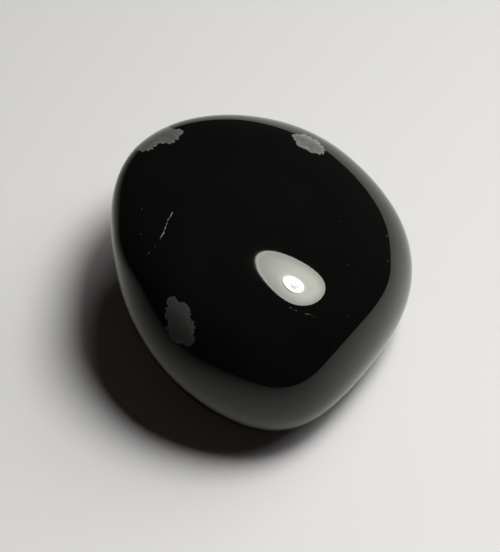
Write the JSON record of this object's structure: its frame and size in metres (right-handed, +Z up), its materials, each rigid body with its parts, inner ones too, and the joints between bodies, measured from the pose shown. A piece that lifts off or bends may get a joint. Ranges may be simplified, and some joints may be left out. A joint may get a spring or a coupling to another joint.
{
  "type": "snowflake obsidian tumbled stone",
  "caption": "Rounded, mirror-polished pebble of black volcanic glass with soft worn faces, pale grey mineral snowflakes in the surface, resting on a small worn flat.",
  "frame": {"origin": "Bottom centre of the stone's box, on the surface it lies on.", "axes": "+Z up, out of the surface it lies on, along the shortest extent; +Y along the longest extent; +X across the stone."},
  "size_m": [0.0278, 0.0308, 0.0155],
  "materials": {
    "polished_obsidian": "tumbled to a mirror polish; black glass with grey snowflake spots of slightly duller shine"
  },
  "bodies": {
    "root": {"obsidian_stone": "polished_obsidian"}
  },
  "joints": []
}
